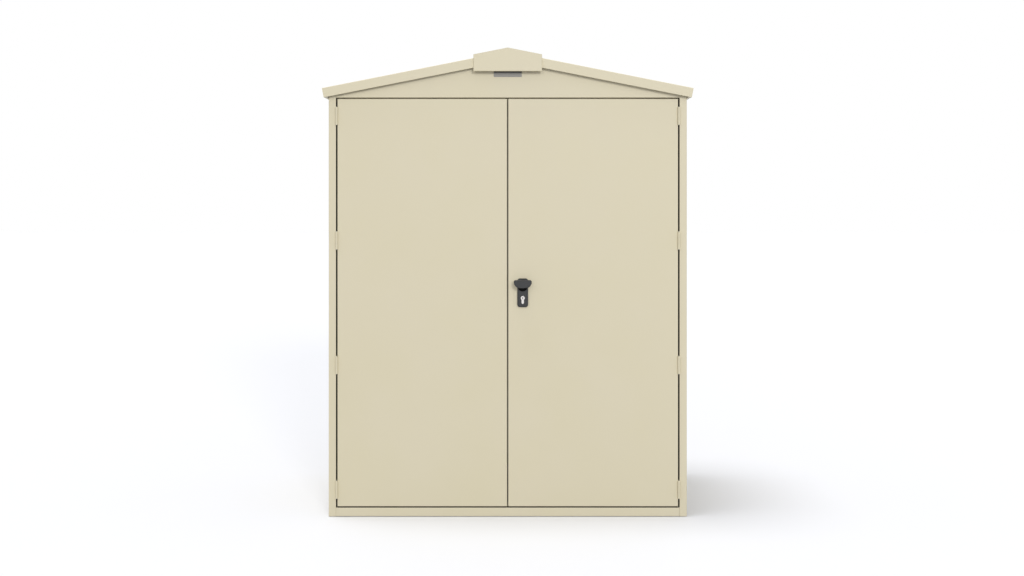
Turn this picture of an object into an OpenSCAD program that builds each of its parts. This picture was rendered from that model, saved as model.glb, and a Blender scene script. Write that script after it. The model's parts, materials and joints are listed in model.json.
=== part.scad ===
// Folded-steel tool shed with an apex roof and a pair of side-hung doors.
// Frame: origin at the centre of the footprint at ground level, doors facing -Y, +Z up, millimetres.

/* [Body] */
// Width of the walls, outside
body_w = 1520; // [1270:10:1830]
// Depth of the walls, outside
body_d = 940; // [800:10:1500]
// Height of the side walls at the eaves
wall_h = 1820; // [1500:1:2200]
// Thickness of the steel sheet
sheet_t = 1.2; // [0.9:0.1:1.6]
// Inside radius of every fold
bend_r = 1.2; // [0.8:0.1:2]
// Depth of the flanges that bolt the wall panels together
flange_w = 25; // [20:1:30]
// Gap left between neighbouring pieces
seat_gap = 0.3; // [0.2:0.1:0.5]

/* [Frame] */
// Face width of the four corner posts
post_w = 31; // [26:1:40]
// Depth of the front posts along the side walls
front_post_d = 60; // [50:1:80]
// Depth of the rear posts along the side walls
rear_post_d = 40; // [32:1:60]
// Depth of the hinge face of a front post
post_return_d = 48; // [42:1:49]
// Width of the stiffening lip on a front post
post_lip_w = 12; // [8:1:16]
// Height of the sill under the doors
sill_h = 37; // [36:1:60]
// Drop from the top of the side walls to the underside of the header
header_drop = 43; // [40:1:70]
// How far the door stops overlap the doors at sill and header
stop_overlap = 11; // [8:1:16]

/* [Doors] */
// Thickness of a door leaf
door_t = 30; // [26:1:36]
// Width of the lip folded round the back of a leaf
door_lip_w = 18; // [12:1:26]
// Gap between a leaf and its hinge post
gap_hinge = 6; // [6:0.5:8]
// Gap between the two leaves
gap_meet = 6; // [6:0.5:8]
// Gap above and below the leaves
gap_end = 5; // [5:0.5:8]
// Gap between the back of a leaf and the door stops
gap_stop = 5; // [5:0.5:8]
// Width of the stiffener down the middle of a leaf
stiffener_w = 80; // [50:5:120]

/* [Hinges] */
// Number of hinges on each leaf
hinge_count = 4; // [2:1:5]
// Length of a hinge
hinge_len = 75; // [60:1:100]
// Distance from the end of a leaf to the middle of its nearest hinge
hinge_inset = 72.5; // [60:0.5:120]
// Diameter of the hinge barrel
barrel_d = 11; // [9:0.5:11]
// Diameter of the hinge pin
pin_d = 6; // [4:0.5:6.5]
// Thickness of the hinge leaves
leaf_t = 2; // [1.5:0.1:2.5]
// Depth of the hinge leaves behind the face of the door
leaf_d = 24; // [18:1:26]

/* [Roof] */
// Pitch of the roof in degrees
pitch = 11.2; // [8:0.1:16]
// Roof overhang beyond each side wall
over_side = 26; // [22:1:40]
// Roof overhang beyond the front and back walls
over_end = 25; // [22:1:40]
// Depth of the folded edge round the roof
fascia_h = 40; // [30:0.5:40]
// Width of the hem under the folded edge
hem_w = 12; // [8:1:16]
// Height of the standing seams
seam_h = 14; // [12:1:15]
// Width of the standing seams
seam_w = 12; // [10:1:16]
// Width of the beam under the ridge
beam_w = 40; // [30:1:60]
// Height of the beam under the ridge
beam_h = 45; // [35:1:60]

/* [Ridge capping] */
// Width of the capping
cap_w = 290; // [220:5:360]
// Height of the capping above the roof sheets
cap_raise = 14.5; // [14.5:0.5:24]
// Depth of the lip along the edges of the capping
cap_lip = 9; // [6:1:10]
// Height of the end plates below the apex of the capping
cap_end_h = 100; // [90:1:120]
// Gap between the roof edge and the end plates
cap_end_gap = 7; // [6:1:12]
// Width of the name plate
plate_w = 119; // [80:1:140]
// Height of the name plate
plate_h = 35; // [20:1:40]
// Drop of the name plate below the end plate
plate_drop = 22; // [10:0.5:34]
// Thickness of the name plate
plate_t = 1.5; // [1:0.1:3]

/* [Lock] */
// Distance of the lock from the middle of the doorway
lock_x = 63.5; // [55:0.5:90]
// Height of the grip's axis above the ground
grip_z = 986; // [800:1:1100]
// Width of the handle plate
handle_w = 46; // [40:1:54]
// Height of the handle plate
handle_h = 123; // [115:1:150]
// Thickness of the handle plate
handle_t = 9; // [7:0.5:12]
// Distance from the top of the handle plate to the grip's axis
grip_inset = 25.5; // [20:0.5:30]
// Distance from the grip's axis down to the middle of the key barrel
key_drop = 59; // [52:1:70]
// Width of the grip
grip_w = 76; // [60:1:90]
// Height of the grip
grip_h = 38; // [30:1:44]
// Thickness of the grip
grip_t = 18; // [12:1:24]
// Length of the neck between handle plate and grip
neck_len = 22; // [18:1:30]
// Diameter of the neck
neck_d = 20; // [16:1:24]
// Diameter of the spindle
spindle_d = 12; // [8:1:14]
// Diameter of the key barrel
key_d = 17; // [16:0.5:18]
// Overall height of the key barrel's profile
key_h = 33; // [30:1:34]
// Width of the key barrel's tail
key_tail_w = 10; // [9:0.5:11]
// Diameter of the lock rods
rod_d = 10; // [8:1:12]

/* [Floor] */
// Height of the floor above the ground
floor_h = 40; // [36:1:60]
// Width of the floor bearers
bearer_w = 36; // [30:1:50]
// Distance from the front and back walls to the middle of the outer bearers
bearer_inset = 200; // [150:5:300]
// Distance from the side walls to the anchor holes
anchor_inset = 210; // [150:5:300]
// Diameter of the anchor holes
anchor_d = 12; // [10:1:14]

/* [Hidden] */

$fn = 48;
IVORY = [0.86, 0.82, 0.71];
ZINC = [0.70, 0.72, 0.73];
STEEL = [0.78, 0.78, 0.76];
BLACK = [0.16, 0.16, 0.17];
GREY = [0.55, 0.55, 0.56];

t = sheet_t;
fold_r = bend_r + t;              // outside radius of a fold
bend_steps = 3;                   // straight facets in a right-angle fold
cut = 1;                          // how far a cutting solid runs past a face
fit = 0.05;                       // radial running clearance of a pin

half_w = body_w / 2;
front_y = -body_d / 2;            // plane of the door faces
back_y = body_d / 2;
opening_half = half_w - post_w;   // half the clear width between the posts
header_z = wall_h - header_drop;  // underside of the header
stop_y = front_y + door_t + gap_stop;

leaf_w = opening_half - gap_hinge - gap_meet / 2;
leaf_z = sill_h + gap_end;
leaf_h = header_z - gap_end - leaf_z;

panel_w = (body_d - front_post_d - rear_post_d) / 2;
back_panel_w = 2 * opening_half / 3;

cos_p = cos(pitch);
tan_p = tan(pitch);
half_roof = half_w + over_side;
ridge_gap = 4;                    // from the ridge line to the top of each slope
slope_len = (half_roof - ridge_gap) / cos_p;
roof_half_d = body_d / 2 + over_end;

cap_end_y = front_y - over_end - cap_end_gap - t;  // front face of the front end plate
cap_apex_z = top_z(0) + cap_raise / cos_p;
cap_edge_z = cap_apex_z - cap_w / 2 * tan_p;

hinge_x = opening_half - gap_hinge / 2;
barrel_r = barrel_d / 2;
barrel_clear = 0.3;               // from a barrel to the folded corners beside it
hinge_y = front_y - sqrt(pow(barrel_r + barrel_clear, 2) - pow(gap_hinge / 2, 2));
floor_front = stop_y + t + seat_gap;
floor_gap = 0.8;                  // from the floor sheet to the wall sheets
edge_x = half_w - max(post_w, flange_w) - cut;     // outside of the floor's side edges
edge_back = back_y - flange_w - cut;
edge_w = 20;                      // width of the edge angles under the floor

knuckle_gap = 0.5;
leaf_gap = 0.1;                   // from a hinge leaf to the post or door beside it
pin_proud = 1;
knuckle_len = (hinge_len - 2 * knuckle_gap) / 3;

grip_y = front_y - handle_t - neck_len - grip_t;   // front face of the grip
plate_top_z = grip_z + grip_inset;
key_z = grip_z - key_drop;
grip_r = 8;                       // radius of the rounded ends of the grip
handle_r = 9;                     // corner radius of the handle plate
case_w = 40;                      // lock case behind the skin of the right door
case_d = 20;
case_z = key_z - key_h;
case_h = key_h + key_drop + spindle_d + 10;
spindle_seat = 12;                // how far the spindle reaches into the lock case
window_w = 28;                    // hole in the skin in front of the lock case
window_z = case_z + 5;
window_h = case_h - 15;

rod_y = front_y + t + 11;
rod_gap = 2;                      // from the end of a withdrawn rod to the edge of the door
guide_w = 24;
guide_h = 16;
guide_inset = 180;
bolt_len = 120;
bolt_knob = 22;

// Height of the underside and of the top of the roof sheet at a distance x from the ridge.
function under_z(x) = wall_h + seat_gap + (half_w - abs(x)) * tan_p;
function top_z(x) = under_z(x) + t / cos_p;

// ---- folded sheet ----

function unit(v) = v / norm(v);
function left_of(v) = [-v[1], v[0]];
function turned(v, a) = [v[0] * cos(a) - v[1] * sin(a), v[0] * sin(a) + v[1] * cos(a)];
function turn_angle(a, b) = atan2(a[0] * b[1] - a[1] * b[0], a[0] * b[0] + a[1] * b[1]);

// Points round one corner of a folded strip, on the path's own side (inner = 0) or
// on the far side of the sheet (inner = 1). The sheet lies on the left of the path.
function corner_points(before, at, after, inner) =
    let (d1 = unit(at - before), d2 = unit(after - at), a = turn_angle(d1, d2),
         way = a > 0 ? 1 : -1, outer_r = a > 0 ? fold_r : bend_r,
         centre = at - d1 * outer_r * tan(abs(a) / 2) + left_of(d1) * outer_r * way,
         r = a > 0 ? fold_r - inner * t : bend_r + inner * t,
         steps = max(1, round(bend_steps * abs(a) / 90)))
    [for (i = [0:steps]) centre - left_of(turned(d1, a * i / steps)) * r * way];

function fold_side(p, inner) = concat(
    [p[0] + left_of(unit(p[1] - p[0])) * t * inner],
    [for (i = [1:len(p) - 2]) each corner_points(p[i - 1], p[i], p[i + 1], inner)],
    [p[len(p) - 1] + left_of(unit(p[len(p) - 1] - p[len(p) - 2])) * t * inner]);

function reversed(p) = [for (i = [len(p) - 1:-1:0]) p[i]];

// Section of one strip of sheet folded along a path of outside corners.
module fold(path) polygon(concat(fold_side(path, 0), reversed(fold_side(path, 1))));

// Extrusions of a section along X, from (y, z), and along Y, from (x, z).
module along_x(x, length) translate([x, 0, 0]) rotate([90, 0, 90]) linear_extrude(length) children();
module along_y(y, length) translate([0, y + length, 0]) rotate([90, 0, 0]) linear_extrude(length) children();
module along_z(z, length) translate([0, 0, z]) linear_extrude(length) children();

module mirrored(on) mirror([on ? 1 : 0, 0, 0]) children();

// Rectangle 0..w by 0..d whose corners on the line y = 0 are rounded where r1 and r2 aren't 0.
function arc(c, r, from, to) = [for (i = [0:bend_steps])
    c + r * [cos(from + (to - from) * i / bend_steps), sin(from + (to - from) * i / bend_steps)]];
function face_section(w, d, r1, r2) = concat(
    [[0, d]], r1 > 0 ? arc([r1, r1], r1, 180, 270) : [[0, 0]],
    r2 > 0 ? arc([w - r2, r2], r2, 270, 360) : [[w, 0]], [[w, d]]);

// Block w by d by h with its face at y = 0 and rounded edges on the sides that have a rim.
module face_block(w, h, d, r, rim)
    intersection() {
        linear_extrude(h) polygon(face_section(w, d, r * rim[0], r * rim[1]));
        translate([0, 0, h]) rotate([0, 90, 0])
            linear_extrude(w) polygon(face_section(h, d, r * rim[3], r * rim[2]));
    }

// Sheet tray with its face at y = 0 and a folded rim d deep on the sides of rim, which are
// left, right, bottom and top. A lip, if there is one, runs round the back of the rims.
module tray(w, h, d, lip = 0, rim = [1, 1, 1, 1]) {
    x0 = rim[0] ? t : -cut;
    x1 = rim[1] ? w - t : w + cut;
    z0 = rim[2] ? t : -cut;
    z1 = rim[3] ? h - t : h + cut;
    deep = lip > 0 ? d - 2 * t : d - t + cut;
    difference() {
        face_block(w, h, d, fold_r, rim);
        translate([x0, t, z0]) face_block(x1 - x0, z1 - z0, deep, bend_r, rim);
        if (lip > 0)
            translate([rim[0] ? lip : -cut, t, rim[2] ? lip : -cut])
                cube([w - (rim[0] ? lip : -cut) - (rim[1] ? lip : -cut), d,
                      h - (rim[2] ? lip : -cut) - (rim[3] ? lip : -cut)]);
    }
}

// ---- carcass ----

module side_panel(index, right)
    color(IVORY) mirrored(right)
        translate([-half_w, front_y + front_post_d + (index + 1) * panel_w - seat_gap / 2, 0])
            rotate([0, 0, -90]) tray(panel_w - seat_gap, wall_h, flange_w);

module back_panel(index)
    color(IVORY)
        translate([-opening_half + (index + 1) * back_panel_w - seat_gap / 2, back_y, 0])
            rotate([0, 0, 180]) tray(back_panel_w - seat_gap, header_z - seat_gap, flange_w);

module front_post(right)
    color(IVORY) mirrored(right) translate([-half_w, front_y, 0]) linear_extrude(wall_h)
        fold([[flange_w, front_post_d], [0, front_post_d], [0, 0], [post_w, 0],
              [post_w, post_return_d], [post_w - post_lip_w, post_return_d]]);

module rear_post(right)
    color(IVORY) mirrored(right) translate([-half_w, back_y, 0]) linear_extrude(wall_h)
        fold([[post_w, -flange_w], [post_w, 0], [0, 0], [0, -rear_post_d], [flange_w, -rear_post_d]]);

module front_sill() {
    half = opening_half - seat_gap;
    color(IVORY) along_x(-half, 2 * half)
        fold([[stop_y, leaf_z + stop_overlap], [stop_y, sill_h], [front_y, sill_h],
              [front_y, 0], [front_y + flange_w, 0]]);
}

// Outline in (x, z) under the roof, from a level edge at low_z up to drop below the sheets.
function gable_outline(half, low_z, drop) =
    [[-half, low_z], [half, low_z], [half, under_z(half) - drop], [0, under_z(0) - drop],
     [-half, under_z(half) - drop]];

// Gable between the posts: a folded header along the bottom, and a face with sloping flanges
// under the roof, notched for the ridge beam. It is drawn facing -Y with its face at y = 0.
module gable(header) {
    half = opening_half - seat_gap;
    join_z = header_z + fold_r + cut;
    apex_z = under_z(0) - seat_gap;
    notch_half = beam_w / 2 + cut;
    difference() {
        along_y(0, flange_w) polygon(gable_outline(half, join_z, seat_gap));
        along_y(t, flange_w) polygon(gable_outline(half - t, join_z - cut, seat_gap + t / cos_p));
        translate([-notch_half, t, apex_z - beam_h]) cube([2 * notch_half, flange_w, beam_h + cut]);
    }
    along_x(-half, 2 * half) fold(concat([[0, join_z + cut], [0, header_z]], header));
}

module gable_front()
    color(IVORY) translate([0, front_y, 0])
        gable([[stop_y - front_y, header_z], [stop_y - front_y, header_z - gap_end - stop_overlap]]);

module gable_back()
    color(IVORY) translate([0, back_y, 0]) rotate([0, 0, 180]) gable([[flange_w, header_z]]);

module ridge_beam() {
    z = under_z(beam_w / 2) - seat_gap;
    half = beam_w / 2;
    lip = 10;
    length = body_d - 2 * (t + seat_gap);
    color(ZINC) along_y(-length / 2, length)
        fold([[half - lip, z - beam_h], [half, z - beam_h], [half, z], [-half, z],
              [-half, z - beam_h], [lip - half, z - beam_h]]);
}

// ---- roof ----

// Places a flat sheet, drawn from its eaves edge at x = 0 with its top at z = 0, on the left slope.
module on_slope() translate([-half_roof, 0, top_z(half_roof)]) rotate([0, -pitch, 0]) children();

// One roof sheet of the left slope: folded edges at the eaves and the gable, an upstand under
// the ridge capping, and on the back sheet the standing seam that covers the joint.
module roof_panel(back, right)
    color(IVORY) mirrored(right) difference() {
        on_slope() {
            mirror([0, back ? 1 : 0, 0]) translate([0, -roof_half_d, 0]) {
                rotate([-90, 0, 0])
                    tray(slope_len, roof_half_d - seat_gap / 2, fascia_h, hem_w, [1, 0, 1, 0]);
                translate([slope_len - t, fold_r, -t])
                    cube([t, roof_half_d - fold_r - seat_gap / 2, cap_raise - seat_gap]);
            }
            if (back) along_x(fascia_h, slope_len - cap_w / 2 / cos_p - fascia_h) standing_seam();
        }
        // the gable edges of the two slopes meet on the ridge line
        translate([-seat_gap / 2, -roof_half_d - cut, wall_h])
            cube([fascia_h, 2 * (roof_half_d + cut), cap_apex_z - wall_h]);
    }

// Section of the seam in (y, z) above the sheets, with its foot on the back sheet.
module standing_seam()
    fold([[seam_w, 0], [seam_w / 2, 0], [seam_w / 2, seam_h], [-seam_w / 2, seam_h],
          [-seam_w / 2, seat_gap]]);

module ridge_cap() {
    half = cap_w / 2;
    length = 2 * (-cap_end_y - t);
    color(IVORY) along_y(-length / 2, length)
        fold([[half, cap_edge_z - cap_lip], [half, cap_edge_z], [0, cap_apex_z],
              [-half, cap_edge_z], [-half, cap_edge_z - cap_lip]]);
}

// End plate of the capping, facing -Y: a gabled top above a tray that reaches back to the roof.
module cap_end() {
    half = cap_w / 2;
    low_z = cap_apex_z - cap_end_h;
    rim_z = cap_edge_z - cap_lip - seat_gap;
    lap_x = half - fold_r;
    along_y(cap_end_y, t)
        polygon([[-lap_x, rim_z - cut], [lap_x, rim_z - cut], [lap_x, rim_z], [half, rim_z],
                 [half, cap_edge_z], [0, cap_apex_z], [-half, cap_edge_z], [-half, rim_z], [-lap_x, rim_z]]);
    translate([-half, cap_end_y, low_z])
        tray(cap_w, rim_z - low_z, cap_end_gap + t - seat_gap, 0, [1, 1, 1, 0]);
}

module ridge_cap_end(back) color(IVORY) rotate([0, 0, back ? 180 : 0]) cap_end();

module name_plate() {
    low_z = cap_apex_z - cap_end_h - plate_drop;
    color(GREY) translate([-plate_w / 2, front_y - plate_t, low_z]) cube([plate_w, plate_t, plate_h]);
}

// ---- floor ----

// Notches for the posts and for the flanges where the wall panels meet.
module floor_notches() {
    seam_ys = [front_y + front_post_d, front_y + front_post_d + panel_w, back_y - rear_post_d];
    seam_xs = [-opening_half, -back_panel_w / 2, back_panel_w / 2, opening_half];
    post_notch = post_w + 2 * cut;
    slot = 2 * (t + cut);
    slot_len = flange_w + 2 * cut;
    for (right = [0, 1]) mirrored(right) translate([-half_w - cut, 0]) {
        translate([0, front_y - cut]) square([post_notch, front_post_d + 2 * cut]);
        translate([0, back_y - rear_post_d - cut]) square([post_notch, rear_post_d + 2 * cut]);
        for (y = seam_ys) translate([0, y - slot / 2]) square([slot_len, slot]);
    }
    for (x = seam_xs) translate([x - slot / 2, back_y - flange_w - cut]) square([slot, slot_len]);
}

module floor_pan() {
    reach = half_w - t - floor_gap;
    back = back_y - t - floor_gap;
    color(ZINC) difference() {
        along_z(floor_h - t, t) difference() {
            translate([-reach, floor_front]) square([2 * reach, back - floor_front]);
            floor_notches();
        }
        anchor_holes();
    }
}

// Angles under the four edges of the floor, standing on the ground. The front and back ones
// run the full width and the side ones fit between them.
module floor_edges() {
    top = floor_h - t;
    side_y = floor_front + edge_w + seat_gap;
    color(ZINC) {
        along_x(-edge_x, 2 * edge_x)
            fold([[floor_front + edge_w, top], [floor_front, top], [floor_front, 0]]);
        along_x(-edge_x, 2 * edge_x)
            fold([[edge_back, 0], [edge_back, top], [edge_back - edge_w, top]]);
        for (right = [0, 1]) mirrored(right) along_y(side_y, edge_back - edge_w - seat_gap - side_y)
            fold([[edge_w - edge_x, top], [-edge_x, top], [-edge_x, 0]]);
    }
}

function bearer_ys() = [front_y + bearer_inset, 0, back_y - bearer_inset];

module anchor_holes()
    for (x = [-1, 1], y = [bearer_ys()[0], bearer_ys()[2]])
        translate([x * (half_w - anchor_inset), y, -cut]) cylinder(d = anchor_d, h = floor_h + 2 * cut);

module floor_bearers() {
    length = 2 * (edge_x - edge_w - seat_gap);
    top = floor_h - t;
    half = bearer_w / 2;
    color(ZINC) difference() {
        for (y = bearer_ys()) along_x(-length / 2, length)
            fold([[y - half, 0], [y + half, 0], [y + half, top], [y - half, top]]);
        anchor_holes();
    }
}

// ---- doors ----

module door_panel(right)
    color(IVORY) difference() {
        mirrored(right) translate([-leaf_w - gap_meet / 2, front_y, leaf_z])
            tray(leaf_w, leaf_h, door_t, door_lip_w);
        if (right)
            translate([lock_x - window_w / 2, front_y - cut, window_z])
                cube([window_w, t + 2 * cut, window_h]);
    }

module door_stiffener(right) {
    middle = -gap_meet / 2 - leaf_w / 2;
    half = stiffener_w / 2;
    foot = 16;
    back = front_y + door_t - 2 * t;
    color(IVORY) mirrored(right) along_z(leaf_z + door_lip_w, leaf_h - 2 * door_lip_w)
        fold([[middle - half - foot, front_y + t], [middle - half, front_y + t], [middle - half, back],
              [middle + half, back], [middle + half, front_y + t], [middle + half + foot, front_y + t]]);
}

function hinge_zs() = [for (i = [0:hinge_count - 1])
    leaf_z + hinge_inset + (leaf_h - 2 * hinge_inset) * i / (hinge_count - 1)];

// One half of a hinge about its pin at the origin: the numbered knuckles, counted from the
// bottom, on a plate that lies in the gap beside the post (side = -1) or the door (side = 1).
module hinge_leaf(knuckles, side) {
    plate_x = side * (gap_hinge / 2 - leaf_gap - leaf_t / 2) - leaf_t / 2;
    plate_end = front_y + leaf_d - hinge_y;
    plate_start = front_y + barrel_r - hinge_y;
    difference() {
        union() {
            for (k = knuckles) translate([0, 0, k * (knuckle_len + knuckle_gap)]) {
                cylinder(d = barrel_d, h = knuckle_len);
                translate([plate_x, 0, 0]) cube([leaf_t, plate_end, knuckle_len]);
            }
            translate([plate_x, plate_start, 0]) cube([leaf_t, plate_end - plate_start, hinge_len]);
        }
        translate([0, 0, -cut]) cylinder(r = pin_d / 2 + fit, h = hinge_len + 2 * cut);
    }
}

// Puts the children at the bottom of each hinge pin of the left or the right door.
module at_hinges(right)
    mirrored(right) for (z = hinge_zs()) translate([-hinge_x, hinge_y, z - hinge_len / 2]) children();

module hinge_frame_leaves(right) color(IVORY) at_hinges(right) hinge_leaf([0, 2], -1);

module hinge_door_leaves(right) color(IVORY) at_hinges(right) hinge_leaf([1], 1);

module hinge_pins(right)
    color(STEEL) at_hinges(right)
        translate([0, 0, -pin_proud]) cylinder(d = pin_d, h = hinge_len + 2 * pin_proud);

// ---- bolts and lock ----

// Bearing block for a vertical rod at x, standing on the inside of a door's skin.
module rod_guide(x, z) difference() {
    translate([x - guide_w / 2, front_y + t, z]) cube([guide_w, rod_y - front_y - t + rod_d, guide_h]);
    translate([x, rod_y, z - cut]) cylinder(d = rod_d + 2 * seat_gap, h = guide_h + 2 * cut);
}

// Rods with a knob between two guides, at the top and the bottom of the left door.
module shoot_bolts() {
    x = -gap_meet / 2 - door_lip_w - guide_w / 2 - cut;
    knob_d = 12;
    color(ZINC) for (low = [1, 0]) {
        z = low ? leaf_z + t + rod_gap : leaf_z + leaf_h - t - rod_gap - bolt_len;
        middle = z + bolt_len / 2;
        translate([x, rod_y, z]) cylinder(d = rod_d, h = bolt_len);
        translate([x, 0, middle]) along_y(rod_y, bolt_knob) circle(d = knob_d);
        for (side = [-1, 1]) rod_guide(x, middle + side * bolt_len / 4 - guide_h / 2);
    }
}

module lock_case()
    color(ZINC) translate([lock_x, front_y + t + seat_gap, 0]) difference() {
        translate([-case_w / 2, 0, case_z]) cube([case_w, case_d, case_h]);
        translate([0, 0, grip_z]) along_y(-cut, spindle_seat + fit + cut) circle(d = spindle_d + 2 * fit);
    }

module lock_rods() {
    low_z = leaf_z + t + rod_gap;
    high_z = case_z + case_h + seat_gap;
    color(ZINC) translate([lock_x, rod_y, 0]) {
        translate([0, 0, low_z]) cylinder(d = rod_d, h = case_z - seat_gap - low_z);
        translate([0, 0, high_z]) cylinder(d = rod_d, h = leaf_z + leaf_h - t - rod_gap - high_z);
    }
}

module rod_guides()
    color(ZINC) for (z = [leaf_z + guide_inset, leaf_z + leaf_h - guide_inset - guide_h])
        rod_guide(lock_x, z);

// Outline of the key barrel, grown by g.
module key_profile(g) {
    circle(d = key_d + 2 * g);
    tail = key_h - key_d / 2 - key_tail_w / 2;
    translate([-key_tail_w / 2 - g, -tail]) square([key_tail_w + 2 * g, tail]);
    translate([0, -tail]) circle(d = key_tail_w + 2 * g);
}

module round_rect(w, h, r) {
    translate([-w / 2, r]) square([w, h - 2 * r]);
    translate([r - w / 2, 0]) square([w - 2 * r, h]);
    for (x = [r - w / 2, w / 2 - r], y = [r, h - r]) translate([x, y]) circle(r = r);
}

module handle_plate() {
    low_z = plate_top_z - handle_h;
    color(BLACK) translate([lock_x, 0, 0]) difference() {
        along_y(front_y - handle_t, handle_t)
            translate([0, low_z]) round_rect(handle_w, handle_h, handle_r);
        along_y(front_y - handle_t - cut, handle_t + 2 * cut) {
            translate([0, key_z]) key_profile(seat_gap);
            translate([0, grip_z]) circle(d = spindle_d + 2 * fit);
        }
    }
}

module lock_cylinder() {
    proud = 1.5;
    slot = [2, 3, 8];
    color(STEEL) translate([lock_x, front_y - handle_t - proud, key_z]) difference() {
        along_y(0, handle_t + proud + t) key_profile(0);
        translate([-slot[0] / 2, -cut, -slot[2] / 2]) cube([slot[0], slot[1] + cut, slot[2]]);
    }
}

// Half-moon outline of the grip about its axis: a flat top with rounded ends over a half ellipse.
function grip_outline() = let (top = grip_h / 2, side = grip_w / 2, steps = 20)
    concat(
        [for (a = [90:-15:0]) [side - grip_r + grip_r * cos(a), top - grip_r + grip_r * sin(a)]],
        [for (i = [1:steps - 1]) let (a = -180 * i / steps)
            [side * cos(a), top - grip_r + (grip_h - grip_r) * sin(a)]],
        [for (a = [180:-15:90]) [grip_r - side + grip_r * cos(a), top - grip_r + grip_r * sin(a)]]);

// The spindle turns in the handle plate and in the lock case.
module handle_grip() {
    plate_y = front_y - handle_t;
    color(BLACK) translate([lock_x, 0, grip_z]) {
        along_y(grip_y, grip_t) polygon(grip_outline());
        along_y(grip_y + grip_t - cut, neck_len + cut - seat_gap) circle(d = neck_d);
        along_y(plate_y - cut, handle_t + cut + t + seat_gap + spindle_seat) circle(d = spindle_d);
    }
}

floor_pan();
floor_edges();
floor_bearers();
front_sill();
front_post(0);  // front_post_left
front_post(1);  // front_post_right
rear_post(0);  // rear_post_left
rear_post(1);  // rear_post_right
side_panel(0, 0);  // side_panel_left_front
side_panel(1, 0);  // side_panel_left_back
side_panel(0, 1);  // side_panel_right_front
side_panel(1, 1);  // side_panel_right_back
back_panel(0);  // back_panel_left
back_panel(1);  // back_panel_middle
back_panel(2);  // back_panel_right
gable_front();
gable_back();
ridge_beam();
roof_panel(0, 0);  // roof_left_front
roof_panel(1, 0);  // roof_left_back
roof_panel(0, 1);  // roof_right_front
roof_panel(1, 1);  // roof_right_back
ridge_cap();
ridge_cap_end(0);  // ridge_cap_end_front
ridge_cap_end(1);  // ridge_cap_end_back
name_plate();
hinge_frame_leaves(0);  // hinge_frame_leaves_left
hinge_frame_leaves(1);  // hinge_frame_leaves_right
hinge_pins(0);  // hinge_pins_left
hinge_pins(1);  // hinge_pins_right
door_panel(0);  // door_panel_left
door_stiffener(0);  // door_stiffener_left
hinge_door_leaves(0);  // hinge_door_leaves_left
shoot_bolts();
door_panel(1);  // door_panel_right
door_stiffener(1);  // door_stiffener_right
hinge_door_leaves(1);  // hinge_door_leaves_right
lock_case();
lock_rods();
rod_guides();
handle_plate();
lock_cylinder();
handle_grip();
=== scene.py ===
"""A folded-steel garden tool shed: its finishes and fine pieces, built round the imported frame."""

import json
import math

import bmesh
import bpy
from mathutils import Matrix, Vector


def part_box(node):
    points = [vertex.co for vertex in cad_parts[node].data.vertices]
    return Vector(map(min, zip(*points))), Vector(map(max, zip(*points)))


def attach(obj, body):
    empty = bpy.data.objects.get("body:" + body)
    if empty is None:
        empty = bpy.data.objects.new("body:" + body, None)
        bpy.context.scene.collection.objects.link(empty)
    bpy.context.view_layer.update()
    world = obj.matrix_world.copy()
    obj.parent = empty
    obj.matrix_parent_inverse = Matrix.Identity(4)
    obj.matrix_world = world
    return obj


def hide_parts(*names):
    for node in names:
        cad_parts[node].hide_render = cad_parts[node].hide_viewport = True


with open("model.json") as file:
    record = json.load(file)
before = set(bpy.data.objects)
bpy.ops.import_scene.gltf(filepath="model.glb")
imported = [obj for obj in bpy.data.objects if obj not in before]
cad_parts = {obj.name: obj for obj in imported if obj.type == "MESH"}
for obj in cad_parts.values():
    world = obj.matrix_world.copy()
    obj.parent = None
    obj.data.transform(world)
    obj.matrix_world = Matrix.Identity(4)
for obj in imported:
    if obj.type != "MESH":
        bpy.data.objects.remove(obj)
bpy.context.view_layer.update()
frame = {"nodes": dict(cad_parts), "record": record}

MM = 0.001
HAIR = 0.01 * MM                  # how near a face counts as on a plane
CLEAR = 1 * MM                    # how far a shallow cut runs past its face, or a part into what it joins
PAST = 5 * MM                     # the same for a deep cut
ROUND_UNDER = math.radians(35)    # faces that meet at less than this are shaded as one round
SPINDLE = 6 * MM                  # radius of the spindle that the grip turns
KEY_TAIL = 10 * MM                # width of a key barrel's tail
NOISE_RANGE = {"From Min": 0.3, "From Max": 0.7}       # where nearly all of a noise pattern lies

# The point that the grip turns about, on the spindle's line.
GRIP = Vector(next(joint["pos_m"] for joint in frame["record"]["behaviour"]["joints"]
                   if joint["name"] == "handle_turn"))


# ---------------------------------------------------------------- finishes

def linear(hex_colour):
    """sRGB hex to linear RGBA."""
    parts = [int(hex_colour[i:i + 2], 16) / 255 for i in (1, 3, 5)]
    return [p / 12.92 if p <= 0.04045 else ((p + 0.055) / 1.055) ** 2.4 for p in parts] + [1.0]


def per(size_mm):
    """Texture scale whose features are that many millimetres across."""
    return 1 / (size_mm * MM)


def add(tree, kind, links=None, **settings):
    """A node of that kind; links fills its sockets, each from another node's socket or a plain value."""
    made = tree.nodes.new(kind)
    for name, value in settings.items():
        setattr(made, name, value)
    for name, source in (links or {}).items():
        if isinstance(source, bpy.types.NodeSocket):
            tree.links.new(source, made.inputs[name])
        else:
            made.inputs[name].default_value = source
    return made


def new_finish(name):
    """An empty node material, with the object's own coordinates ready to use."""
    made = bpy.data.materials.new(name)
    made.use_nodes = True
    made.node_tree.nodes.clear()
    place = add(made.node_tree, "ShaderNodeTexCoord")
    return made, made.node_tree, place.outputs["Object"]


def shade(tree, links):
    """The finish's surface shader, wired to its output."""
    surface = add(tree, "ShaderNodeBsdfPrincipled", links)
    add(tree, "ShaderNodeOutputMaterial", {"Surface": surface.outputs["BSDF"]})


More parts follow.
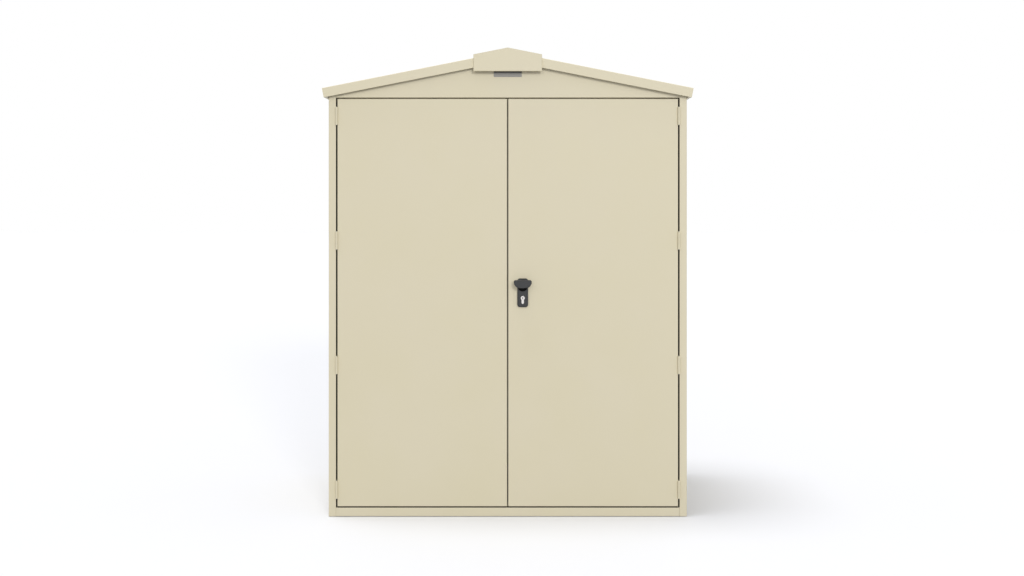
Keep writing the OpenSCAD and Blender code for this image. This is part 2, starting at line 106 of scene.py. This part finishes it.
def two_tone(tree, pattern, dark, light):
    """A colour that goes from dark to light with a noise pattern."""
    level = add(tree, "ShaderNodeMapRange", {"Value": pattern, **NOISE_RANGE})
    tone = add(tree, "ShaderNodeMix", {"Factor": level.outputs["Result"],
                                       6: linear(dark), 7: linear(light)}, data_type="RGBA")
    return tone.outputs[2]


def ivory_powder_coat():
    """Polyester powder baked on galvanised sheet: an even satin cream skin with a very fine orange peel.
    The sheet under it is thin, so its wide faces wander by up to a tenth of a millimetre."""
    made, tree, place = new_finish("ivory_polyester_powder_coat")
    film = add(tree, "ShaderNodeTexNoise", {"Vector": place, "Scale": per(260), "Detail": 2.0})
    gloss = add(tree, "ShaderNodeMapRange", {"Value": film.outputs["Fac"], **NOISE_RANGE,
                                             "To Min": 0.40, "To Max": 0.46})
    peel = add(tree, "ShaderNodeTexNoise", {"Vector": place, "Scale": per(2.6), "Detail": 1.0})
    wander = add(tree, "ShaderNodeTexNoise", {"Vector": place, "Scale": per(420), "Detail": 0.0})
    waved = add(tree, "ShaderNodeBump", {"Height": wander.outputs["Fac"], "Distance": 0.12 * MM})
    skin = add(tree, "ShaderNodeBump", {"Height": peel.outputs["Fac"], "Distance": 0.02 * MM,
                                        "Normal": waved.outputs["Normal"]})
    shade(tree, {"Base Color": two_tone(tree, film.outputs["Fac"], "#DBD2B5", "#DCD3B8"),
                 "Roughness": gloss.outputs["Result"], "Normal": skin.outputs["Normal"], "IOR": 1.5})
    return made


def galvanised_steel():
    """Hot-dip galvanised steel: crystal spangles a centimetre or so across, each with its own grey and
    gloss."""
    made, tree, place = new_finish("hot_dip_galvanised_steel")
    spangle = add(tree, "ShaderNodeTexVoronoi", {"Vector": place, "Scale": per(13)})
    grain = add(tree, "ShaderNodeSeparateColor", {"Color": spangle.outputs["Color"]})
    tone = add(tree, "ShaderNodeMix", {"Factor": grain.outputs["Red"],
                                       6: linear("#B4B8BA"), 7: linear("#CDD0D0")}, data_type="RGBA")
    gloss = add(tree, "ShaderNodeMapRange", {"Value": grain.outputs["Green"],
                                             "To Min": 0.36, "To Max": 0.52})
    facet = add(tree, "ShaderNodeBump", {"Height": grain.outputs["Blue"], "Distance": 0.01 * MM})
    shade(tree, {"Base Color": tone.outputs[2], "Metallic": 1.0, "Roughness": gloss.outputs["Result"],
                 "Normal": facet.outputs["Normal"]})
    return made


def bright_zinc():
    """Zinc-plated steel: a thin, bright, slightly cloudy plating on turned pins and bolts."""
    made, tree, place = new_finish("bright_zinc_plated_steel")
    cloud = add(tree, "ShaderNodeTexNoise", {"Vector": place, "Scale": per(4), "Detail": 3.0})
    gloss = add(tree, "ShaderNodeMapRange", {"Value": cloud.outputs["Fac"], **NOISE_RANGE,
                                             "To Min": 0.24, "To Max": 0.38})
    shade(tree, {"Base Color": two_tone(tree, cloud.outputs["Fac"], "#B9BAB6", "#D2D2CC"),
                 "Metallic": 1.0, "Roughness": gloss.outputs["Result"]})
    return made


def black_nylon():
    """Glass-filled nylon, moulded with a fine spark-eroded grain: charcoal, with a low even sheen.
    The grain is drawn a few times coarser than the real one, so that it shows."""
    made, tree, place = new_finish("black_moulded_nylon")
    grain = add(tree, "ShaderNodeTexNoise", {"Vector": place, "Scale": per(0.9), "Detail": 2.0})
    pits = add(tree, "ShaderNodeBump", {"Height": grain.outputs["Fac"], "Distance": 0.03 * MM})
    shade(tree, {"Base Color": two_tone(tree, grain.outputs["Fac"], "#1C1D1E", "#242527"),
                 "Roughness": 0.42, "Normal": pits.outputs["Normal"], "IOR": 1.48})
    return made


def satin_nickel():
    """Brass barrel in satin nickel plate, brushed: pale warm metal with fine lines along its length.
    The lines are drawn coarser than the real ones, so that they show."""
    made, tree, place = new_finish("satin_nickel_plate")
    drawn = add(tree, "ShaderNodeMapping", {"Vector": place, "Scale": (1.0, 1.0, 0.04)})
    lines = add(tree, "ShaderNodeTexNoise", {"Vector": drawn.outputs["Vector"], "Scale": per(0.25),
                                             "Detail": 2.0})
    gloss = add(tree, "ShaderNodeMapRange", {"Value": lines.outputs["Fac"], **NOISE_RANGE,
                                             "To Min": 0.22, "To Max": 0.34})
    shade(tree, {"Base Color": two_tone(tree, lines.outputs["Fac"], "#B9B5B1", "#D2CECB"),
                 "Metallic": 1.0, "Roughness": gloss.outputs["Result"]})
    return made


def black_shade_rubber():
    """Black rubber for the door seals, the keyway insert and the hollow's lining; its black paints the
    shade in gaps and hollows. Matt, with almost no shine.
    """
    made, tree, place = new_finish("black_shade_seal_rubber")
    bloom = add(tree, "ShaderNodeTexNoise", {"Vector": place, "Scale": per(30), "Detail": 3.0})
    gloss = add(tree, "ShaderNodeMapRange", {"Value": bloom.outputs["Fac"], **NOISE_RANGE,
                                             "To Min": 0.7, "To Max": 0.85})
    shade(tree, {"Base Color": two_tone(tree, bloom.outputs["Fac"], "#0C0C0C", "#131212"),
                 "Roughness": gloss.outputs["Result"], "Specular IOR Level": 0.15})
    return made


def shaded_beige_rubber():
    """Beige extruded rubber, its tone the cream paint darkened as painted shade: matt, with faint draw
    lines along its length.
    """
    made, tree, place = new_finish("shaded_beige_seal_rubber")
    drawn = add(tree, "ShaderNodeMapping", {"Vector": place, "Scale": (1.0, 1.0, 0.01)})
    lines = add(tree, "ShaderNodeTexNoise", {"Vector": drawn.outputs["Vector"], "Scale": per(0.8),
                                             "Detail": 2.0})
    groove = add(tree, "ShaderNodeBump", {"Height": lines.outputs["Fac"], "Distance": 0.05 * MM})
    shade(tree, {"Base Color": two_tone(tree, lines.outputs["Fac"], "#B5AE99", "#BFB8A3"),
                 "Roughness": 0.7, "Normal": groove.outputs["Normal"], "Specular IOR Level": 0.3})
    return made


def lacquer(name, dark, light):
    """Printed lacquer on thin aluminium: an even colour with a slight orange peel and a soft sheen."""
    made, tree, place = new_finish(name)
    peel = add(tree, "ShaderNodeTexNoise", {"Vector": place, "Scale": per(1.5), "Detail": 2.0})
    skin = add(tree, "ShaderNodeBump", {"Height": peel.outputs["Fac"], "Distance": 0.01 * MM})
    shade(tree, {"Base Color": two_tone(tree, peel.outputs["Fac"], dark, light),
                 "Roughness": 0.5, "Normal": skin.outputs["Normal"], "IOR": 1.5})
    return made


IVORY = ivory_powder_coat()
GALVANISED = galvanised_steel()
ZINC = bright_zinc()
BLACK = black_nylon()
NICKEL = satin_nickel()
# black rubber whose black paints the shade in gaps and hollows
SHADE_RUBBER = black_shade_rubber()
# beige rubber darkened from the cream paint: painted shade
SHADED_BEIGE_RUBBER = shaded_beige_rubber()
GREY_LACQUER = lacquer("grey_plate_lacquer", "#908E89", "#98958F")
CHARCOAL_LACQUER = lacquer("charcoal_plate_lacquer", "#28282A", "#2F2F31")

SLOT_FINISH = {
    "ivory_powder_coat": IVORY,
    "galvanised_steel": GALVANISED,
    "pin_steel": ZINC,
    "black_handle": BLACK,
    "key_barrel": NICKEL,
    "plate": GREY_LACQUER,
}


def finish_cad_nodes():
    """Each CAD node takes the finish that its material slot names."""
    for row in frame["record"]["subparts"]:
        mesh = frame["nodes"][row["node"]].data
        mesh.materials.clear()
        mesh.materials.append(SLOT_FINISH[row["material_slot"]])


# ---------------------------------------------------------------- ways of working

def alone():
    """Nothing is selected, so that the next operator acts only on what is added or picked after this."""
    if bpy.context.mode != "OBJECT":
        bpy.ops.object.mode_set(mode="OBJECT")
    bpy.ops.object.select_all(action="DESELECT")


def held(piece):
    """Only this piece is selected, and it is the active one."""
    alone()
    piece.select_set(True)
    bpy.context.view_layer.objects.active = piece


def in_place(name):
    """Names the primitive that was just added and settles its place and size in its mesh."""
    piece = bpy.context.object
    piece.name = name
    piece.data.name = name
    bpy.ops.object.transform_apply(location=True, rotation=True, scale=True)
    return piece


def block(name, low, high):
    """Square stock from one corner to the other."""
    alone()
    bpy.ops.mesh.primitive_cube_add(size=1, location=(low + high) / 2, scale=high - low)
    return in_place(name)


def bar(name, start, end, radius, sides=48):
    """Round stock between two points on a line along X, Y or Z, or hexagon stock with 6 sides."""
    alone()
    run = end - start
    turn = run.to_track_quat("Z", "Y").to_euler()
    bpy.ops.mesh.primitive_cylinder_add(vertices=sides, radius=radius, depth=run.length,
                                        location=(start + end) / 2, rotation=turn)
    return in_place(name)


def at_depth(point, y):
    """That point at another depth, measured square to the doors."""
    return Vector((point.x, y, point.z))


def rod(name, point, front, back, radius, sides=48):
    """Round stock that runs square to the doors through that point, from one depth to another."""
    return bar(name, at_depth(point, front), at_depth(point, back), radius, sides)


def open_to_pick(piece, kind):
    """Opens the piece for editing by its faces or its edges, with none of them selected."""
    held(piece)
    bpy.ops.object.mode_set(mode="EDIT")
    bpy.ops.mesh.select_mode(type=kind)
    bpy.ops.mesh.select_all(action="DESELECT")
    return bmesh.from_edit_mesh(piece.data)


def pick_all(piece):
    """Opens the piece for editing with all of it selected."""
    held(piece)
    bpy.ops.object.mode_set(mode="EDIT")
    bpy.ops.mesh.select_all(action="SELECT")


def pick_faces(piece, test):
    """Opens the piece for editing with the faces selected whose middle and normal pass the test."""
    shape = open_to_pick(piece, "FACE")
    for face in shape.faces:
        if test(face.calc_center_median(), face.normal):
            face.select_set(True)
    bmesh.update_edit_mesh(piece.data)


def pick_edges(piece, test):
    """Opens the piece for editing with the edges selected whose middle and direction pass the test."""
    shape = open_to_pick(piece, "EDGE")
    for edge in shape.edges:
        a, b = (vert.co for vert in edge.verts)
        if test((a + b) / 2, (b - a).normalized()):
            edge.select_set(True)
    bmesh.update_edit_mesh(piece.data)


def round_off(radius, steps):
    """Rounds the picked edges."""
    bpy.ops.mesh.bevel(offset=radius, segments=steps, affect="EDGES", clamp_overlap=True)


def round_corners(piece, radius, steps):
    """Rounds the edges that run square to the doors."""
    pick_edges(piece, lambda at, run: abs(run.y) > 0.9)
    round_off(radius, steps)


def round_rim(piece, y, radius, steps):
    """Rounds the edges round the face that lies at that depth."""
    pick_edges(piece, lambda at, run: abs(at.y - y) < HAIR and abs(run.y) < 0.1)
    round_off(radius, steps)


def merge_points(piece):
    """Points that lie on each other become one, and the slivers between them go."""
    pick_all(piece)
    bpy.ops.mesh.remove_doubles(threshold=HAIR)
    bpy.ops.mesh.dissolve_degenerate(threshold=HAIR)
    bpy.ops.object.mode_set(mode="OBJECT")


def one_face(piece):
    """Faces that lie flat against each other after welding become one."""
    pick_all(piece)
    bpy.ops.mesh.dissolve_limited(angle_limit=math.radians(0.5))
    bpy.ops.object.mode_set(mode="OBJECT")


def carve(piece, tool, way="DIFFERENCE"):
    """Cuts the tool out of the piece, or with UNION welds it on, and the tool is gone."""
    held(piece)
    work = piece.modifiers.new("carve", "BOOLEAN")
    work.operation = way
    work.solver = "EXACT"
    work.object = tool
    bpy.ops.object.modifier_apply(modifier=work.name)
    bpy.data.objects.remove(tool)
    merge_points(piece)


def weld_on(piece, tool):
    """Makes the tool part of the piece."""
    carve(piece, tool, "UNION")


def joined(name, parts):
    """Separate solids made into one piece."""
    alone()
    for part in parts:
        part.select_set(True)
    bpy.context.view_layer.objects.active = parts[0]
    bpy.ops.object.join()
    piece = bpy.context.object
    piece.name = name
    piece.data.name = name
    return piece


def copies(name, pattern, places):
    """The pattern repeated at each place, which is a matrix, as one piece. The pattern is gone after."""
    made = []
    for place in places:
        copy = pattern.copy()
        copy.data = pattern.data.copy()
        copy.data.transform(place)
        bpy.context.scene.collection.objects.link(copy)
        made.append(copy)
    bpy.data.objects.remove(pattern)
    return joined(name, made)


def two_finishes(piece, first, second, test):
    """The faces that pass the test take the second finish, and the rest the first."""
    piece.data.materials.append(first)
    piece.data.materials.append(second)
    for face in piece.data.polygons:
        if test(face):
            face.material_index = 1


def fit(piece, finish, body, stands_for=()):
    """Gives the piece its finish, smooths its rounds and hangs it on its body."""
    held(piece)
    bpy.ops.object.shade_smooth_by_angle(angle=ROUND_UNDER)
    even = piece.modifiers.new("even", "WEIGHTED_NORMAL")
    even.keep_sharp = True
    bpy.ops.object.modifier_apply(modifier=even.name)
    if not piece.data.materials:
        piece.data.materials.append(finish)
    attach(piece, body)
    if stands_for:
        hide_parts(*stands_for)
    alone()


# ---------------------------------------------------------------- handle and lock

def key_head():
    """Middle and radius of the key barrel's round head."""
    low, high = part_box("lock_cylinder")
    radius = (high.x - low.x) / 2
    return Vector(((low.x + high.x) / 2, 0, high.z - radius)), radius


def key_profile(name, front, back, grow=0.0):
    """The standard profile of a key barrel: a round head over a narrower tail with a round end."""
    head, radius = key_head()
    tail = KEY_TAIL / 2
    foot = Vector((head.x, 0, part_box("lock_cylinder")[0].z + tail))
    across = Vector((tail + grow, 0, 0))
    piece = rod(name, head, front, back, radius + grow)
    weld_on(piece, block("tail", at_depth(foot, front) - across, at_depth(head, back) + across))
    weld_on(piece, rod("tail_end", foot, front, back, tail + grow))
    one_face(piece)
    return piece


def handle_plate():
    """Long moulded plate: round corners, a raised border, a hollow behind the grip for the fingers, its
    floor lined with black rubber as painted shade under the grip, and a raised rim round the key barrel."""
    low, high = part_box("handle_plate")
    top_drop = Vector((0, 0, 1.2 * MM))         # the moulding stops a little below the CAD plate's top
    border = 3 * MM
    sunk = 0.9 * MM
    plate = block("handle_plate_moulding", low, high - top_drop)
    round_corners(plate, radius=11.5 * MM, steps=10)
    round_rim(plate, low.y, radius=2.4 * MM, steps=4)
    pick_faces(plate, lambda at, normal: normal.y < -0.99)
    bpy.ops.mesh.inset(thickness=border, depth=0)
    bpy.ops.mesh.inset(thickness=sunk, depth=-sunk)

    rim_face = low.y + 0.2 * MM
    rim_foot = low.y + 2 * MM
    rim = key_profile("key_rim", rim_face, rim_foot, grow=2.6 * MM)
    round_rim(rim, rim_face, radius=0.6 * MM, steps=2)
    weld_on(plate, rim)
    carve(plate, key_profile("key_seat", low.y - PAST, high.y + PAST, grow=0.6 * MM))

    floor = high.y - 3 * MM
    lower = GRIP - Vector((0, 0, 12 * MM))
    hollow = rod("finger_hollow", GRIP, low.y - PAST, floor, radius=14 * MM, sides=64)
    weld_on(hollow, rod("lower_hollow", lower, low.y - PAST, floor, radius=19.4 * MM, sides=64))
    one_face(hollow)
    carve(plate, hollow)
    carve(plate, rod("spindle_hole", GRIP, low.y, high.y + PAST, SPINDLE + 0.2 * MM))
    # The hollow's floor takes the black rubber: painted shade under the grip.
    two_finishes(plate, BLACK, SHADE_RUBBER,
                 lambda face: abs(face.center.y - floor) < HAIR and face.normal.y < -0.9)
    fit(plate, BLACK, "door_right", ["handle_plate"])


def lock_cylinder():
    """Key barrel: its profile, the turning plug a little proud of its face, and the keyway, with a black
    insert in it as painted shade.
    """
    low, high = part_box("lock_cylinder")
    head = key_head()[0]
    face = low.y + 0.5 * MM
    edge = 0.4 * MM
    groove_floor = face + 0.6 * MM
    barrel = key_profile("key_barrel_body", face, high.y)
    round_rim(barrel, face, edge, steps=2)
    carve(barrel, rod("plug_groove", head, face - CLEAR, groove_floor, radius=6.8 * MM))
    plug = rod("key_plug", head, low.y, face + 2 * MM, radius=6.3 * MM)
    round_rim(plug, low.y, edge, steps=2)
    weld_on(barrel, plug)

    half = Vector((1.6, 0, 3.7)) * MM           # half the keyway's width and height
    way_end = at_depth(head, low.y + 3.2 * MM) + half
    carve(barrel, block("keyway", at_depth(head, low.y - CLEAR) - half, way_end))
    fit(barrel, NICKEL, "door_right", ["lock_cylinder"])

    # A black insert deep in the keyway: painted shade.
    insert_face = low.y + 1.2 * MM
    shade_insert = block("keyway_shade_insert", at_depth(head, insert_face) - half, way_end)
    pick_edges(shade_insert, lambda at, run: abs(run.z) > 0.9 and at.y < insert_face + 0.1 * MM)
    round_off(radius=0.6 * MM, steps=2)
    fit(shade_insert, SHADE_RUBBER, "door_right")


def half_moon(name, low, high, face, back):
    """A flat top with round ends over a half ellipse with a flat foot."""
    half = (high.x - low.x) / 2
    corner = 8 * MM
    foot = low.z + 4 * MM
    middle = Vector((GRIP.x, 0, high.z - corner))
    moon = rod(name, middle, face, back, half, sides=72)
    pick_all(moon)
    bpy.ops.transform.resize(value=(1, 1, (middle.z - low.z) / half), center_override=middle)
    bpy.ops.mesh.bisect(plane_co=middle, plane_no=(0, 0, 1), clear_outer=True, use_fill=True)
    bpy.ops.mesh.select_all(action="SELECT")
    bpy.ops.mesh.bisect(plane_co=(0, 0, foot), plane_no=(0, 0, -1), clear_outer=True, use_fill=True)
    end = Vector((half - corner, 0, 0))
    down = Vector((0, 0, corner))
    weld_on(moon, block("top", at_depth(middle, face) - end - down, at_depth(middle, back) + end + down))
    for way in (-1, 1):
        weld_on(moon, rod("tip", middle + way * end, face, back, corner))
    one_face(moon)
    pick_edges(moon, lambda at, run: abs(run.y) > 0.9 and at.z < foot + 0.5 * MM)
    round_off(radius=2.2 * MM, steps=4)
    return moon


def handle_grip():
    """Half-moon grip, its front edge well rounded, with a raised oval pad in the middle, on a neck that
    flares where it meets the grip."""
    low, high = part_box("handle_grip")
    face = low.y + 1.2 * MM
    back = low.y + 18 * MM
    grip = half_moon("handle_grip_moulding", low, high, face, back)
    round_rim(grip, face, radius=3 * MM, steps=5)
    round_rim(grip, back, radius=2 * MM, steps=3)

    oval = (1, 1, 0.6)
    pad = rod("thumb_pad", GRIP, low.y, face + CLEAR, radius=25 * MM, sides=64)
    pick_all(pad)
    bpy.ops.transform.resize(value=oval, center_override=GRIP)
    round_rim(pad, low.y, radius=1.1 * MM, steps=4)
    weld_on(grip, pad)

    flare = (1.3, 1, 1.3)
    neck_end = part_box("handle_plate")[1].y - 3.3 * MM
    neck = rod("neck", GRIP, back - CLEAR, neck_end, radius=10 * MM)
    pick_faces(neck, lambda at, normal: normal.y < -0.9)
    bpy.ops.transform.resize(value=flare, center_override=at_depth(GRIP, back))
    weld_on(grip, neck)
    weld_on(grip, rod("spindle", GRIP, neck_end - CLEAR, high.y, SPINDLE))
    fit(grip, BLACK, "handle", ["handle_grip"])


def lock_case():
    """Pressed lock case inside the door: round corners, a sunk panel in its lid, the spindle's bore and
    four slotted screws."""
    low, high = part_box("lock_case")
    lid = high.y - 1.2 * MM
    case = block("lock_case_body", low, at_depth(high, lid))
    round_corners(case, radius=4 * MM, steps=5)
    round_rim(case, lid, radius=1.2 * MM, steps=3)
    margin = Vector((13 * MM, 0, 13 * MM))
    sunk = lid - 0.8 * MM
    panel = block("panel", at_depth(low, sunk) + margin, at_depth(high, lid + CLEAR) - margin)
    round_corners(panel, radius=3 * MM, steps=4)
    carve(case, panel)
    bore_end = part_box("handle_grip")[1].y + 0.5 * MM
    carve(case, rod("bore", GRIP, low.y - CLEAR, bore_end, SPINDLE + 0.3 * MM))
    fit(case, GALVANISED, "door_right", ["lock_case"])

    centre = Vector()
    screw = rod("screw", centre, lid - CLEAR, high.y, radius=3.5 * MM, sides=24)
    round_rim(screw, high.y, radius=0.6 * MM, steps=3)
    slot_floor = high.y - 0.6 * MM
    half = Vector((3 * MM, 0, 0.5 * MM))        # half the slot's length and width
    slot_mouth = high.y + CLEAR
    carve(screw, block("slot", at_depth(centre, slot_floor) - half, at_depth(centre, slot_mouth) + half))
    edge = 7 * MM
    turn = 0.7                                  # radians from one screw's slot to the next one's
    places = []
    for x in (low.x + edge, high.x - edge):
        for z in (low.z + edge, high.z - edge):
            places.append(Matrix.Translation((x, 0, z)) @ Matrix.Rotation(len(places) * turn, 4, "Y"))
    fit(copies("lock_case_screws", screw, places), ZINC, "door_right")


# ---------------------------------------------------------------- plate, shade-painting seals and fixings

def name_plate():
    """Blank plate under the ridge capping: a charcoal band over a grey one, on thin sheet with round
    corners."""
    low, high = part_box("name_plate")
    plate = block("blank_badge", low, high)
    round_corners(plate, radius=2.5 * MM, steps=4)
    round_rim(plate, low.y, radius=0.4 * MM, steps=2)
    band = low.z + 18.5 * MM
    pick_all(plate)
    bpy.ops.mesh.bisect(plane_co=(0, 0, band), plane_no=(0, 0, 1))
    bpy.ops.object.mode_set(mode="OBJECT")
    two_finishes(plate, GREY_LACQUER, CHARCOAL_LACQUER, lambda face: face.center.z > band)
    fit(plate, GREY_LACQUER, "shell", ["name_plate"])


def filled_heights(node):
    """The stretches of height that a node's separate solids take up, where they are over 60 mm apart."""
    apart = 60 * MM
    heights = sorted(vert.co.z for vert in frame["nodes"][node].data.vertices)
    stretches = [[heights[0], heights[0]]]
    for height in heights:
        if height - stretches[-1][1] > apart:
            stretches.append([height, height])
        stretches[-1][1] = height
    return stretches


def gap_shade_seal(side):
    """Black rubber strips on the post beside a door, in lengths between its hinges; their black paints
    the shade deep in the gap.
    """
    low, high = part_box("door_panel_" + side)
    post_low, post_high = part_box("front_post_" + side)
    thick = 0.7 * MM
    front = low.y + 1.4 * MM
    back = low.y + 46 * MM
    end = 1 * MM                                # short of each hinge
    over = 4 * MM                               # beyond the door at its top and foot
    wall = post_high.x if side == "left" else post_low.x - thick
    heights = [low.z - over]
    for bottom, top in filled_heights("hinge_frame_leaves_" + side):
        heights += [bottom - end, top + end]
    heights.append(high.z + over)
    strips = []
    for bottom, top in zip(heights[::2], heights[1::2]):
        strip = block("strip", Vector((wall, front, bottom)), Vector((wall + thick, back, top)))
        pick_edges(strip, lambda at, run: abs(run.z) > 0.9)
        round_off(radius=0.3 * MM, steps=2)
        strips.append(strip)
    fit(joined("gap_shade_seal_" + side, strips), SHADE_RUBBER, "shell")


def meeting_shade_seal():
    """Beige rubber strip on the right leaf's closing edge, which narrows the gap to the left leaf; its
    beige, darker than the cream paint, is painted shade at the gap's edge.
    """
    low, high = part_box("door_panel_right")
    wide = 2.2 * MM
    front = low.y + 1 * MM
    back = low.y + 16 * MM
    end = 2 * MM
    strip = block("meeting_shade_seal", Vector((low.x - wide, front, low.z + end)),
                  Vector((low.x, back, high.z - end)))
    pick_edges(strip, lambda at, run: abs(run.z) > 0.9 and at.x < low.x - wide / 2)
    round_off(radius=0.9 * MM, steps=3)
    fit(strip, SHADED_BEIGE_RUBBER, "door_right")


def sill_shade_seal():
    """Flat black rubber strip on the sill under both leaves; its black paints the shade in the gap under
    the doors.
    """
    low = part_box("door_panel_left")[0]
    right_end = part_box("door_panel_right")[1].x
    ledge = low.z - 5 * MM
    thick = 0.8 * MM
    front = low.y + 1.4 * MM
    back = low.y + 24 * MM
    end = 1 * MM
    strip = block("sill_shade_seal", Vector((low.x + end, front, ledge)),
                  Vector((right_end - end, back, ledge + thick)))
    pick_edges(strip, lambda at, run: abs(run.x) > 0.9 and at.z > ledge + thick / 2)
    round_off(radius=0.3 * MM, steps=2)
    fit(strip, SHADE_RUBBER, "shell")


def flange_bolt():
    """Hexagon bolt with its washer through two flanges that lie back to back on the plane x = 0, its nut
    behind."""
    inner = 1.4 * MM                            # half the thickness of the two flanges
    washer_end = inner + 1.2 * MM
    head_end = inner + 5.4 * MM
    tip = inner + 8 * MM
    along = Vector((1, 0, 0))
    solids = []
    for way in (-1, 1):
        washer = bar("washer", way * inner * along, way * washer_end * along, radius=6.5 * MM, sides=24)
        head = bar("head", way * washer_end * along, way * head_end * along, radius=5.8 * MM, sides=6)
        pick_edges(head, lambda at, run: abs(at.x) > head_end - 0.1 * MM)
        round_off(radius=0.7 * MM, steps=1)
        solids += [washer, head]
    shank = bar("shank", -tip * along, (inner + 2 * MM) * along, radius=3 * MM, sides=16)
    return joined("flange_bolt", solids + [shank])


def bolt_rows(name, seams, turned):
    """Flange bolts up each seam of a wall, about 300 mm apart; turned for seams that face along Y."""
    low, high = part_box("side_panel_left_front")
    apart = 300 * MM
    first = low.z + 130 * MM
    last = high.z - 130 * MM
    count = round((last - first) / apart) + 1
    turn = Matrix.Rotation(math.radians(90), 4, "Z") if turned else Matrix.Identity(4)
    places = []
    for x, y in seams:
        for step in range(count):
            height = first + (last - first) * step / (count - 1)
            places.append(Matrix.Translation((x, y, height)) @ turn)
    piece = copies(name, flange_bolt(), places)
    fit(piece, ZINC, "shell")


def wall_bolts():
    """Bolts through the flanges inside the walls."""
    depth = 12.5 * MM
    for side in ("left", "right"):
        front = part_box("side_panel_" + side + "_front")
        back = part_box("side_panel_" + side + "_back")
        wall = front[0].x + depth if side == "left" else front[1].x - depth
        seams = [(wall, front[0].y), (wall, (front[1].y + back[0].y) / 2), (wall, back[1].y)]
        bolt_rows("wall_bolts_" + side, seams, turned=True)
    low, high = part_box("back_panel_middle")
    ends = (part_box("back_panel_left")[0].x, low.x, high.x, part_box("back_panel_right")[1].x)
    bolt_rows("wall_bolts_back", [(x, high.y - depth) for x in ends], turned=False)


# ---------------------------------------------------------------- room, lamps and camera

def only_to_camera(tree):
    """1 for what the camera sees, straight or in metal or glass, and 0 for light on its way to a
    surface."""
    path = add(tree, "ShaderNodeLightPath")
    seen = add(tree, "ShaderNodeMath", {0: path.outputs["Is Camera Ray"],
                                        1: path.outputs["Is Glossy Ray"]}, operation="MAXIMUM")
    every = add(tree, "ShaderNodeMath", {0: seen.outputs[0], 1: path.outputs["Is Transmission Ray"]},
                operation="MAXIMUM")
    return every.outputs[0]


def studio_floor():
    """Plain pale floor, matt, so that it keeps the shadows. It throws little light back up at the
    walls."""
    just_below = -1.5 * MM
    bpy.ops.mesh.primitive_plane_add(size=80, location=(0, 0, just_below))
    floor = bpy.context.object
    floor.name = "studio_floor"
    made, tree = new_finish("matt_white_floor")[:2]
    tone = add(tree, "ShaderNodeMix", {"Factor": only_to_camera(tree),
                                       6: linear("#A2A3A6"), 7: linear("#EDEEF2")}, data_type="RGBA")
    plain = add(tree, "ShaderNodeBsdfDiffuse", {"Color": tone.outputs[2]})
    add(tree, "ShaderNodeOutputMaterial", {"Surface": plain.outputs[0]})
    floor.data.materials.append(made)


def studio_air():
    """White all round to the eye, and a soft even light on the shed."""
    world = bpy.data.worlds.new("white_studio")
    world.use_nodes = True
    bpy.context.scene.world = world
    tree = world.node_tree
    tree.nodes.clear()
    level = add(tree, "ShaderNodeMapRange", {"Value": only_to_camera(tree),
                                             "To Min": 0.64, "To Max": 1.0})
    white = add(tree, "ShaderNodeBackground", {"Color": linear("#FFFFFF"),
                                               "Strength": level.outputs["Result"]})
    add(tree, "ShaderNodeOutputWorld", {"Surface": white.outputs[0]})


def soft_lamp(name, bearing, height, breadth, level):
    """A broad, far lamp: its bearing from straight in front, towards the right, its height above the
    horizon and its breadth are in degrees, and its level is the share of white that it gives a white
    sheet facing it."""
    lamp = bpy.data.lights.new(name, "SUN")
    lamp.energy = level * math.pi
    lamp.angle = math.radians(breadth)
    holder = bpy.data.objects.new(name, lamp)
    bpy.context.scene.collection.objects.link(holder)
    turn = math.radians(bearing)
    rise = math.radians(height)
    towards = Vector((math.sin(turn) * math.cos(rise), -math.cos(turn) * math.cos(rise), math.sin(rise)))
    holder.rotation_euler = towards.to_track_quat("Z", "Y").to_euler()


def camera():
    """A level 50 mm view from head height, square to the doors and a little right of their middle."""
    aside = 0.018
    away = 6.036
    eye_height = 1.386
    lens = bpy.data.cameras.new("camera")
    lens.lens = 50
    lens.sensor_width = 36
    lens.shift_y = -0.0959
    eye = bpy.data.objects.new("camera", lens)
    bpy.context.scene.collection.objects.link(eye)
    door_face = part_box("door_panel_left")[0].y
    eye.location = (aside, door_face - away, eye_height)
    eye.rotation_euler = (math.radians(90), 0, 0)
    bpy.context.scene.camera = eye


finish_cad_nodes()
handle_plate()
lock_cylinder()
handle_grip()
lock_case()
name_plate()
gap_shade_seal("left")
gap_shade_seal("right")
meeting_shade_seal()
sill_shade_seal()
wall_bolts()
studio_floor()
studio_air()
camera()
soft_lamp("key_lamp", bearing=14, height=16, breadth=10, level=0.25)
soft_lamp("front_lamp", bearing=0, height=5, breadth=60, level=0.22)
soft_lamp("overhead_lamp", bearing=-90, height=80, breadth=25, level=0.42)
soft_lamp("back_lamp", bearing=180, height=50, breadth=50, level=0.04)

bpy.context.scene.view_settings.view_transform = "Standard"
